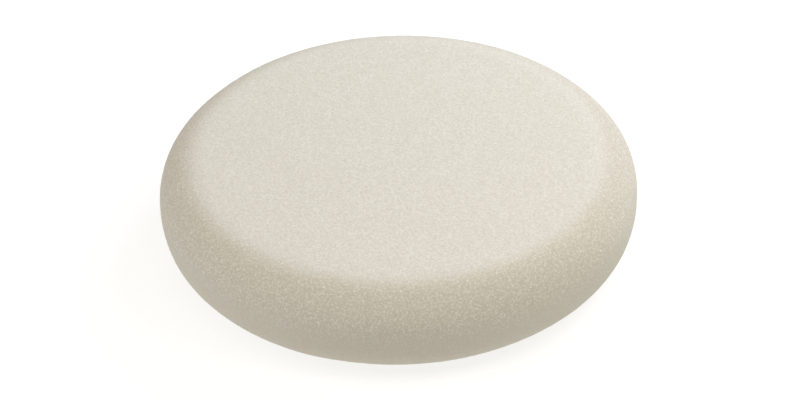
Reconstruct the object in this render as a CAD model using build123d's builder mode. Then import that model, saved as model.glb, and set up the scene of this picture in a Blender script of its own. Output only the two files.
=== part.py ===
"""Foam polishing pad: a round open-cell foam disc bonded to a hook-and-loop backing.

The pad lies on its backing, with the polishing face up. The origin is the centre of the backing's
gripping face, and +Z is the spin axis, out of the polishing face. All sizes are in millimetres.
"""

import os

from build123d import *

# Foam disc
pad_diameter = 150.0  # widest, round the straight band of the edge
foam_thickness = 30.0
edge_band_height = 2.5  # the straight band between the two roundings of the edge
polishing_edge_width = 15.0  # how far the upper rounding reaches in from the widest diameter
back_edge_width = 10.5  # how far the lower rounding reaches in
back_edge_height = 14.0  # the part of the thickness that the lower rounding takes

# Hook-and-loop backing
backing_margin = 2.0  # bare foam between the backing's cut edge and the lower rounding
film_thickness = 0.3
knit_thickness = 0.5
pile_height = 1.2
pile_edge_radius = 0.5  # the outermost loops lean outwards, so the nap's lower edge is rounded

# Worked out from the sizes above
pad_radius = pad_diameter / 2
polishing_edge_height = foam_thickness - edge_band_height - back_edge_height
polishing_face_radius = pad_radius - polishing_edge_width
back_face_radius = pad_radius - back_edge_width
backing_radius = back_face_radius - backing_margin

# Heights above the gripping face, from the bottom layer up
knit_bottom = pile_height
film_bottom = knit_bottom + knit_thickness
foam_bottom = film_bottom + film_thickness
foam_top = foam_bottom + foam_thickness
lower_band_edge = foam_bottom + back_edge_height
upper_band_edge = lower_band_edge + edge_band_height


# Foam disc: one piece of fine open-cell polyurethane foam, contour cut. Its half profile runs from
# the flat back, round the lower edge, up the straight band and over the upper edge to the flat face.
with BuildPart() as foam_disc:
    with BuildSketch(Plane.XZ):
        with BuildLine():
            Line((0, foam_bottom), (back_face_radius, foam_bottom))
            EllipticalCenterArc(
                (back_face_radius, lower_band_edge),
                x_radius=back_edge_width,
                y_radius=back_edge_height,
                start_angle=270,
                arc_size=90,
            )
            Line((pad_radius, lower_band_edge), (pad_radius, upper_band_edge))
            EllipticalCenterArc(
                (polishing_face_radius, upper_band_edge),
                x_radius=polishing_edge_width,
                y_radius=polishing_edge_height,
                start_angle=0,
                arc_size=90,
            )
            Line((polishing_face_radius, foam_top), (0, foam_top))
            Line((0, foam_top), (0, foam_bottom))
        make_face()
    revolve(axis=Axis.Z)


# Bonding film: hot-melt adhesive that fastens the knit to the foam over the knit's whole area.
with BuildPart() as bonding_film:
    with BuildSketch(Plane.XY.offset(film_bottom)):
        Circle(backing_radius)
    extrude(amount=film_thickness)


# Knitted backing: the flat ground of the loop fabric, die-cut to a disc.
with BuildPart() as knitted_backing:
    with BuildSketch(Plane.XY.offset(knit_bottom)):
        Circle(backing_radius)
    extrude(amount=knit_thickness)


# Loop pile: the nap of yarn loops that stands out of the knit and catches the machine's hooks.
with BuildPart() as loop_pile:
    with BuildSketch(Plane.XY):
        Circle(backing_radius)
    extrude(amount=pile_height)
    lower_rim = loop_pile.edges().filter_by(GeomType.CIRCLE).sort_by(Axis.Z)[0]
    fillet(lower_rim, radius=pile_edge_radius)


pieces = {
    "foam_disc": foam_disc,
    "bonding_film": bonding_film,
    "knitted_backing": knitted_backing,
    "loop_pile": loop_pile,
}
os.makedirs("parts", exist_ok=True)
for name, piece in pieces.items():
    piece.part.label = name
    export_step(piece.part, f"parts/{name}.step")
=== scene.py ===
"""A round foam polishing pad, from its foam disc down to the loop pile on its back."""

import math

import bpy
import numpy as np
from mathutils import Matrix, Vector


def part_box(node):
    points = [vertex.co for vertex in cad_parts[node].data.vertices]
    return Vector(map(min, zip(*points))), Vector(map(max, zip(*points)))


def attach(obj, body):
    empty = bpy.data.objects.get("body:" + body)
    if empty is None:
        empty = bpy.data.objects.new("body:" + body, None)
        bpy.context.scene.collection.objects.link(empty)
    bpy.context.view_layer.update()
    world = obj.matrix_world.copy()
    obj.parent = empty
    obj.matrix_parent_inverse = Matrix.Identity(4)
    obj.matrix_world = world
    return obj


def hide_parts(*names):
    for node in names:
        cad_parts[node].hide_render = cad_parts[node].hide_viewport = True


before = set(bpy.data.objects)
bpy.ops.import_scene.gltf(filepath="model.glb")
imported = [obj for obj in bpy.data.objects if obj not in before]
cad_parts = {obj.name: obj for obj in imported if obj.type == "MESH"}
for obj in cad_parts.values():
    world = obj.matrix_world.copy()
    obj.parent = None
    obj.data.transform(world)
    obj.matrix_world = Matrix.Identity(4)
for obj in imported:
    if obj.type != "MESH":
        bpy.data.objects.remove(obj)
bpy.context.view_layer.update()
MM = 0.001


# Foam disc. One contour-cut piece of fine open-cell polyurethane foam. Its polishing face is cut flat, and
# its shoulder and side are ground round. These are painted darker, yellower and grainier than the face,
# partly as the ground surface and partly as painted shade of the shoulder.

def select_only(piece):
    """Makes one object the only selected one, and the active one."""
    bpy.ops.object.select_all(action="DESELECT")
    piece.select_set(True)
    bpy.context.view_layer.objects.active = piece


def turned_disc(name, outline, corners):
    """A closed disc whose outline has these (radius, height) rings, from the bottom face to the top."""
    radius, height = outline[0]
    bpy.ops.object.select_all(action="DESELECT")
    bpy.ops.mesh.primitive_circle_add(
        vertices=corners, radius=radius, fill_type="NGON", location=(0, 0, height)
    )
    disc = bpy.context.object
    disc.name = name
    bpy.ops.object.mode_set(mode="EDIT")
    bpy.ops.mesh.select_all(action="SELECT")
    for next_radius, next_height in outline[1:]:
        bpy.ops.mesh.extrude_region_move(TRANSFORM_OT_translate={"value": (0, 0, next_height - height)})
        share = next_radius / radius
        bpy.ops.transform.resize(value=(share, share, 1), center_override=(0, 0, next_height))
        radius, height = next_radius, next_height
    bpy.ops.mesh.select_all(action="SELECT")
    bpy.ops.mesh.normals_make_consistent(inside=False)
    bpy.ops.object.mode_set(mode="OBJECT")
    bpy.ops.object.transform_apply(location=True, rotation=True, scale=True)
    return disc


def quarter_round(centre, across, up, start, steps):
    """(radius, height) rings round a quarter of an ellipse from the angle start, in degrees."""
    angles = [math.radians(start + 90 * step / steps) for step in range(steps + 1)]
    return [(centre[0] + across * math.cos(a), centre[1] + up * math.sin(a)) for a in angles]


def finish_with(piece, kind, name, **settings):
    """Adds one modifier to a piece and applies it."""
    select_only(piece)
    modifier = piece.modifiers.new(name, kind)
    for setting, value in settings.items():
        setattr(modifier, setting, value)
    bpy.ops.object.modifier_apply(modifier=modifier.name)


def make_uneven(piece, name, lump, depth):
    """Pushes a surface in and out by half this depth, in soft lumps of this size."""
    lumps = bpy.data.textures.new(name, "CLOUDS")
    lumps.noise_scale = lump
    finish_with(piece, "DISPLACE", name, texture=lumps, strength=depth, mid_level=0.5)


class Value:
    """A number that varies over a surface. Arithmetic on it adds the Math nodes that work it out."""

    def __init__(self, finish, socket):
        self.finish, self.socket = finish, socket

    def __add__(self, other):
        return self.finish.arithmetic("ADD", self, other)

    def __sub__(self, other):
        return self.finish.arithmetic("SUBTRACT", self, other)

    def __rsub__(self, other):
        return self.finish.arithmetic("SUBTRACT", other, self)

    def __mul__(self, other):
        return self.finish.arithmetic("MULTIPLY", self, other)

    def __pow__(self, other):
        return self.finish.arithmetic("POWER", self, other)

    __radd__ = __add__
    __rmul__ = __mul__


class Finish:
    """A material, its shader's settings and the nodes that vary them."""

    def __init__(self, name, **shader):
        self.material = bpy.data.materials.new(name)
        self.material.use_nodes = True
        self.tree = self.material.node_tree
        self.shader = self.tree.nodes["Principled BSDF"]
        for socket, value in shader.items():
            self.shader.inputs[socket.replace("_", " ")].default_value = value

    def add(self, kind, settings, inputs, output=0):
        """Adds a node, sets it up, fills its sockets with values or links, and returns one output."""
        node = self.tree.nodes.new(kind)
        for setting, value in settings.items():
            setattr(node, setting, value)
        for name, value in inputs.items():
            if isinstance(value, Value):
                self.tree.links.new(value.socket, node.inputs[name])
            else:
                node.inputs[name].default_value = value
        return Value(self, node.outputs[output])

    def arithmetic(self, operation, first, second):
        return self.add("ShaderNodeMath", {"operation": operation}, {0: first, 1: second})

    def place(self):
        """Where on the piece a point is, in metres."""
        return self.add("ShaderNodeTexCoord", {}, {}, "Object")

    def parts_of(self, vector):
        """The X, Y and Z of a vector, each as a value."""
        split = self.add("ShaderNodeSeparateXYZ", {}, {"Vector": vector}).socket.node
        return [Value(self, output) for output in split.outputs]

    def from_axis(self):
        """How far a point is from the pad's axis, in metres."""
        across, along = self.parts_of(self.place())[:2]
        return (across * across + along * along) ** 0.5

    def noise(self, place, size, detail=2.0):
        """Even cloudy noise from 0 to 1, with lumps of about this size in metres."""
        inputs = {"Vector": place, "Scale": 1 / size, "Detail": detail}
        return self.add("ShaderNodeTexNoise", {}, inputs, "Fac")

    def cells(self, place, size):
        """How far a point is from the middle of its cell, for cells of about this size in metres."""
        inputs = {"Vector": place, "Scale": 1 / size}
        return self.add("ShaderNodeTexVoronoi", {"feature": "F1"}, inputs, "Distance")

    def wave(self, distance, length):
        """0 to 1 and back over each length."""
        swing = self.add("ShaderNodeMath", {"operation": "SINE"}, {0: distance * (math.tau / length)})
        return swing * 0.5 + 0.5

    def band(self, value, low, high, start=0.0, end=1.0):
        """start up to low, end from high on, and smooth between them."""
        inputs = {"Value": value, "From Min": low, "From Max": high, "To Min": start, "To Max": end}
        return self.add("ShaderNodeMapRange", {"interpolation_type": "SMOOTHSTEP"}, inputs, "Result")

    def blend(self, share, first, second):
        """A colour from first at a share of 0 to second at 1."""
        factor, colour_a, colour_b, colour_out = 0, 6, 7, 2
        inputs = {factor: share, colour_a: first, colour_b: second}
        return self.add("ShaderNodeMix", {"data_type": "RGBA"}, inputs, colour_out)

    def feed(self, socket, value):
        """Lets a value or colour drive one of the shader's own sockets."""
        self.tree.links.new(value.socket, self.shader.inputs[socket])

    def bump(self, height, depth, strength=1.0):
        """Relief of this depth in metres, from a height of 0 to 1."""
        inputs = {"Height": height, "Distance": depth, "Strength": strength}
        self.feed("Normal", self.add("ShaderNodeBump", {}, inputs, "Normal"))


foam_low, foam_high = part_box("foam_disc")
foam_radius = foam_high.x
polishing_edge = (15.0 * MM, 13.5 * MM)
back_edge = (10.5 * MM, 14.0 * MM)
polishing_centre = (foam_radius - polishing_edge[0], foam_high.z - polishing_edge[1])
back_centre = (foam_radius - back_edge[0], foam_low.z + back_edge[1])
foam_outline = quarter_round(back_centre, *back_edge, start=-90, steps=12)
foam_outline += quarter_round(polishing_centre, *polishing_edge, start=0, steps=12)
foam_voxel = 0.74 * MM
foam = turned_disc("foam", foam_outline, corners=256)
finish_with(foam, "REMESH", "even faces", mode="VOXEL", voxel_size=foam_voxel, use_smooth_shade=True)
finish_with(foam, "SMOOTH", "even surface", factor=0.5, iterations=4)
make_uneven(foam, "sway", lump=22 * MM, depth=0.25 * MM)
make_uneven(foam, "cut", lump=2.2 * MM, depth=0.1 * MM)

face_colour = (0.66, 0.627, 0.559, 1)
# The shoulder and side colour is darker and yellower than the face: partly the ground surface, partly
# painted shade.
shaded_ground_colour = (0.572, 0.529, 0.44, 1)
# Pore colour: painted shade inside the foam's open cells.
pore_shade_colour = (0.42, 0.37, 0.28, 1)
# Wall and dip colours: painted highlight on the grain's crests and painted shade in its hollows.
wall_highlight_colour = (0.92, 0.90, 0.84, 1)
dip_shade_colour = (0.42, 0.38, 0.30, 1)
# Speck colour: painted glints off cell walls.
glint_colour = (0.97, 0.96, 0.92, 1)
mottle_colour = (0.60, 0.55, 0.46, 1)
pore_size, grain_size, glint_gap, mottle_size = 1.0 * MM, 0.62 * MM, 1.5 * MM, 12 * MM
pore_shade_share, wall_highlight_share, dip_shade_share, mottle_share = 0.22, 0.38, 0.22, 0.1
face_grit, ground_grit, back_grit = 0.66, 0.86, 0.36

foam_finish = Finish("foam", Roughness=0.9, Specular_IOR_Level=0.2)
place = foam_finish.place()
height = foam_finish.parts_of(place)[2]
shoulder = foam_finish.band(foam_finish.from_axis(), foam_radius - 13 * MM, foam_radius - 6 * MM)
side = foam_finish.band(height, foam_high.z - 6 * MM, foam_high.z - 12 * MM)
# Where the shoulder and side are painted darker: partly the ground finish, partly painted shade.
ground_and_shade = 1 - (1 - shoulder) * (1 - side)
grit = ground_and_shade * (ground_grit - face_grit) + face_grit
grit = grit * foam_finish.band(height, foam_low.z + 12 * MM, foam_high.z - 9 * MM, start=back_grit)
# Pores painted dark: painted shade inside the open cells.
pore = foam_finish.band(foam_finish.cells(place, pore_size), 0.5, 0.1)
grain = foam_finish.noise(place, grain_size, detail=1.5)
# Grain crests painted lighter and hollows painted darker: painted highlight and painted shade on the
# grain's relief.
wall_highlight = foam_finish.band(grain, 0.42, 0.75)
dip_shade = foam_finish.band(grain, 0.58, 0.25)
# Tiny bright specks: painted glints off cell walls.
glint = foam_finish.band(foam_finish.cells(place, glint_gap), 0.15, 0.04)
mottle = foam_finish.noise(place, mottle_size)
tone = foam_finish.blend(ground_and_shade, face_colour, shaded_ground_colour)
tone = foam_finish.blend(pore * grit * pore_shade_share, tone, pore_shade_colour)
tone = foam_finish.blend(wall_highlight * grit * wall_highlight_share, tone, wall_highlight_colour)
tone = foam_finish.blend(dip_shade * grit * dip_shade_share, tone, dip_shade_colour)
tone = foam_finish.blend(glint * grit, tone, glint_colour)
tone = foam_finish.blend(mottle * mottle_share, tone, mottle_colour)
foam_finish.feed("Base Color", tone)
foam_finish.bump(grain - pore * 0.6, 0.10 * MM, 0.5)
foam.data.materials.append(foam_finish.material)
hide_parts("foam_disc")
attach(foam, "root")


# Bonding film. Hot-melt adhesive, pressed between the foam and the fabric while soft, so that a thin
# uneven bead of it shows all round the edge of the fabric.
film_low, film_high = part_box("bonding_film")
bead = 0.12 * MM
film_outline = [
    (film_high.x - bead, film_low.z),
    (film_high.x, (film_low.z + film_high.z) / 2),
    (film_high.x - bead, film_high.z),
]
film = turned_disc("film", film_outline, corners=720)
make_uneven(film, "squeezed out", lump=3.5 * MM, depth=0.35 * MM)
film_finish = Finish("hot-melt film", Roughness=0.35, Specular_IOR_Level=0.5)
place = film_finish.place()
milk = film_finish.noise(place, 2.5 * MM)
film_finish.feed("Base Color", film_finish.blend(milk, (0.70, 0.63, 0.47, 1), (0.86, 0.82, 0.71, 1)))
film_finish.bump(film_finish.noise(place, 0.8 * MM), 0.1 * MM, 0.5)
film.data.materials.append(film_finish.material)
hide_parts("bonding_film")
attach(film, "root")


# Knitted backing. The flat ground of a warp-knitted nylon loop fabric, die-cut to a disc and laminated
# to the foam. Its wales run along Y, and its cut edge is pressed slightly round.
knit_low, knit_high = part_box("knitted_backing")
cut_edge = 0.15 * MM
edge_radius = knit_high.x - cut_edge
knit_outline = quarter_round((edge_radius, knit_low.z + cut_edge), cut_edge, cut_edge, start=-90, steps=3)
knit_outline += quarter_round((edge_radius, knit_high.z - cut_edge), cut_edge, cut_edge, start=0, steps=3)
knit = turned_disc("knit", knit_outline, corners=720)
make_uneven(knit, "uneven cut", lump=0.9 * MM, depth=0.12 * MM)
wale, course = 0.8 * MM, 0.55 * MM
# The yarns are painted dark in the gaps between them and light on their crowns: painted shade and painted
# highlight.
yarn_shade, yarn_crown_highlight = (0.52, 0.52, 0.50, 1), (0.80, 0.80, 0.78, 1)
knit_finish = Finish("ground knit", Roughness=0.7, Specular_IOR_Level=0.3, Sheen_Weight=0.2)
place = knit_finish.place()
across, along = knit_finish.parts_of(place)[:2]
rib = knit_finish.wave(across, wale)
stitch = knit_finish.wave(along + rib * (course * 0.5), course)
fibre = (knit_finish.noise(place, 0.25 * MM) - 0.5) * 0.3
yarn = knit_finish.band(rib * 0.5 + stitch * 0.5, 0.15, 0.75) + fibre
# Painted shade between the yarns and painted highlight on their crowns.
knit_finish.feed("Base Color", knit_finish.blend(yarn, yarn_shade, yarn_crown_highlight))
knit_finish.bump(yarn, 0.2 * MM, 0.9)
knit.data.materials.append(knit_finish.material)
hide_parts("knitted_backing")
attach(knit, "root")


# Loop pile. The nap that a machine's hooks catch: tall loops of nylon yarn knitted into the ground, and
# between them lower, finer ones that brushing has pulled out and laid over.
pile_low, pile_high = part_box("loop_pile")
stitch_gap = 1.52 * MM
bare_rim = 0.5 * MM
rooted = 0.1 * MM
random_draw = np.random.default_rng(7)


def yarn_loop(width, thickness):
    """One loop that hangs from its two feet at height 0 down to a depth of 1, for copying."""
    bpy.ops.object.select_all(action="DESELECT")
    bpy.ops.mesh.primitive_torus_add(
        major_segments=12,
        minor_segments=3,
        major_radius=width / 2,
        minor_radius=thickness / 2,
        rotation=(math.pi / 2, 0, 0),
    )
    loop = bpy.context.object
    bpy.ops.object.transform_apply(location=True, rotation=True, scale=True)
    bpy.ops.object.mode_set(mode="EDIT")
    bpy.ops.mesh.select_all(action="SELECT")
    bpy.ops.mesh.bisect(plane_co=(0, 0, 0), plane_no=(0, 0, 1), use_fill=True, clear_outer=True)
    bpy.ops.mesh.select_all(action="SELECT")
    bpy.ops.mesh.normals_make_consistent(inside=False)
    bpy.ops.transform.resize(value=(1, 1, 2 / (width + thickness)), center_override=(0, 0, 0))
    bpy.ops.object.mode_set(mode="OBJECT")
    return loop


def knitted_field(name, loop, start, height, lean, spread):
    """Copies of one loop over the whole backing, each turned, sized and leaned its own way."""
    reach = pile_high.x - bare_rim
    steps = np.arange(-reach, reach, stitch_gap) + start
    feet = np.array([(x, y) for x in steps for y in steps])
    feet = feet + random_draw.uniform(-0.3, 0.3, feet.shape) * stitch_gap
    feet = feet[np.hypot(*feet.T) < reach]
    count = len(feet)
    turn = random_draw.uniform(0, math.tau, count)[:, None]
    size = random_draw.uniform(0.75, 1.25, count)[:, None]
    drop = (pile_high.z - pile_low.z) * random_draw.uniform(*height, count)[:, None]
    nap = np.array(lean) + random_draw.uniform(-spread, spread, (count, 2))
    x, y, z = np.array([corner.co for corner in loop.data.vertices]).T
    wide, deep = x * size, -z * (drop + rooted)
    places = np.stack(
        [
            feet[:, :1] + wide * np.cos(turn) - y * np.sin(turn) + nap[:, :1] * deep,
            feet[:, 1:] + wide * np.sin(turn) + y * np.cos(turn) + nap[:, 1:] * deep,
            pile_high.z + rooted - deep,
        ],
        axis=-1,
    )
    loop_faces = [list(face.vertices) for face in loop.data.polygons]
    first_corners = range(0, count * len(x), len(x))
    faces = [[first + corner for corner in face] for first in first_corners for face in loop_faces]
    mesh = bpy.data.meshes.new(name)
    mesh.from_pydata(places.reshape(-1, 3).tolist(), [], faces)
    mesh.shade_smooth()
    field = bpy.data.objects.new(name, mesh)
    bpy.context.scene.collection.objects.link(field)
    bpy.data.objects.remove(loop)
    return field


tall_loops = knitted_field(
    "tall_loops",
    yarn_loop(width=1.1 * MM, thickness=0.15 * MM),
    start=0.0,
    height=(0.75, 0.97),
    lean=(0.25, 0.1),
    spread=0.5,
)
brushed_loops = knitted_field(
    "brushed_loops",
    yarn_loop(width=1.3 * MM, thickness=0.10 * MM),
    start=stitch_gap / 2,
    height=(0.4, 0.75),
    lean=(0.6, 0.3),
    spread=1.3,
)
nylon = Finish("brushed nylon", Roughness=0.45, Specular_IOR_Level=0.4, Sheen_Weight=0.4)
tuft = nylon.noise(nylon.place(), 1.5 * MM)
nylon.feed("Base Color", nylon.blend(tuft, (0.78, 0.78, 0.76, 1), (0.92, 0.92, 0.91, 1)))
for field in (tall_loops, brushed_loops):
    field.data.materials.append(nylon.material)
    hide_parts("loop_pile")
    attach(field, "root")


# Studio. A white table lit from inside, brighter away from the pad, so that it fades into the white round
# it, with four soft lights and a long lens a little over a metre away.
bpy.ops.mesh.primitive_plane_add(size=40, location=(0, 0, 0))
floor = bpy.context.object
floor.name = "floor"
table_finish = Finish(
    "light table",
    Base_Color=(0.3, 0.3, 0.3, 1),
    Roughness=0.9,
    Specular_IOR_Level=0.0,
    Emission_Strength=1.0,
)
far_out = table_finish.band(table_finish.from_axis(), 0.3, 0.7)
table_finish.feed("Emission Color", table_finish.blend(far_out, (0.76, 0.76, 0.75, 1), (1, 1, 1, 1)))
floor.data.materials.append(table_finish.material)

world = bpy.data.worlds.new("studio")
bpy.context.scene.world = world
world.use_nodes = True
nodes, links = world.node_tree.nodes, world.node_tree.links
dim_surround, white_backdrop = nodes["Background"], nodes.new("ShaderNodeBackground")
for background, strength in ((dim_surround, 0.1), (white_backdrop, 1.03)):
    background.inputs["Color"].default_value = (1, 1, 1, 1)
    background.inputs["Strength"].default_value = strength
either = nodes.new("ShaderNodeMixShader")
links.new(nodes.new("ShaderNodeLightPath").outputs["Is Camera Ray"], either.inputs[0])
links.new(dim_surround.outputs[0], either.inputs[1])
links.new(white_backdrop.outputs[0], either.inputs[2])
links.new(either.outputs[0], nodes["World Output"].inputs["Surface"])

pad_middle = Vector((0, 0, (foam_low.z + foam_high.z) / 2))


def soft_light(name, azimuth, elevation, distance, width, power, colour):
    """A square area light aimed at the pad. Azimuth 0 is the camera's side, and 90 is the +X side."""
    data = bpy.data.lights.new(name, "AREA")
    data.size, data.energy, data.color = width, power, colour
    light = bpy.data.objects.new(name, data)
    turn, lift = math.radians(azimuth), math.radians(elevation)
    towards = Vector((math.sin(turn) * math.cos(lift), -math.cos(turn) * math.cos(lift), math.sin(lift)))
    facing = towards.to_track_quat("Z", "Y").to_matrix().to_4x4()
    light.matrix_world = Matrix.Translation(pad_middle + distance * towards) @ facing
    light.visible_camera = False
    bpy.context.scene.collection.objects.link(light)


soft_light("overhead", 0, 76, 1.2, 0.9, 5.5, (1, 0.94, 0.82))
soft_light("left side", 277, 36, 2.4, 1.8, 23.5, (0.96, 0.975, 1))
soft_light("low back right", 140, 27, 0.6, 0.4, 2.6, (0.8, 0.84, 1))
soft_light("right side", 76, 50, 0.6, 0.4, 1.4, (1, 1, 0.92))

lens = bpy.data.cameras.new("camera")
lens.lens = 171
lens.sensor_width = 36
camera = bpy.data.objects.new("camera", lens)
bpy.context.scene.collection.objects.link(camera)
bpy.context.scene.camera = camera
view_distance = 1.198
view_lift, view_roll = math.radians(36.9), math.radians(-1.6)
aim = Vector((0.4 * MM, 0, 13.75 * MM))
away = Vector((0, -math.cos(view_lift), math.sin(view_lift)))
camera.matrix_world = (
    Matrix.Translation(aim + view_distance * away)
    @ Matrix.Rotation(math.pi / 2 - view_lift, 4, "X")
    @ Matrix.Rotation(view_roll, 4, "Z")
)
bpy.context.scene.view_settings.view_transform = "Standard"
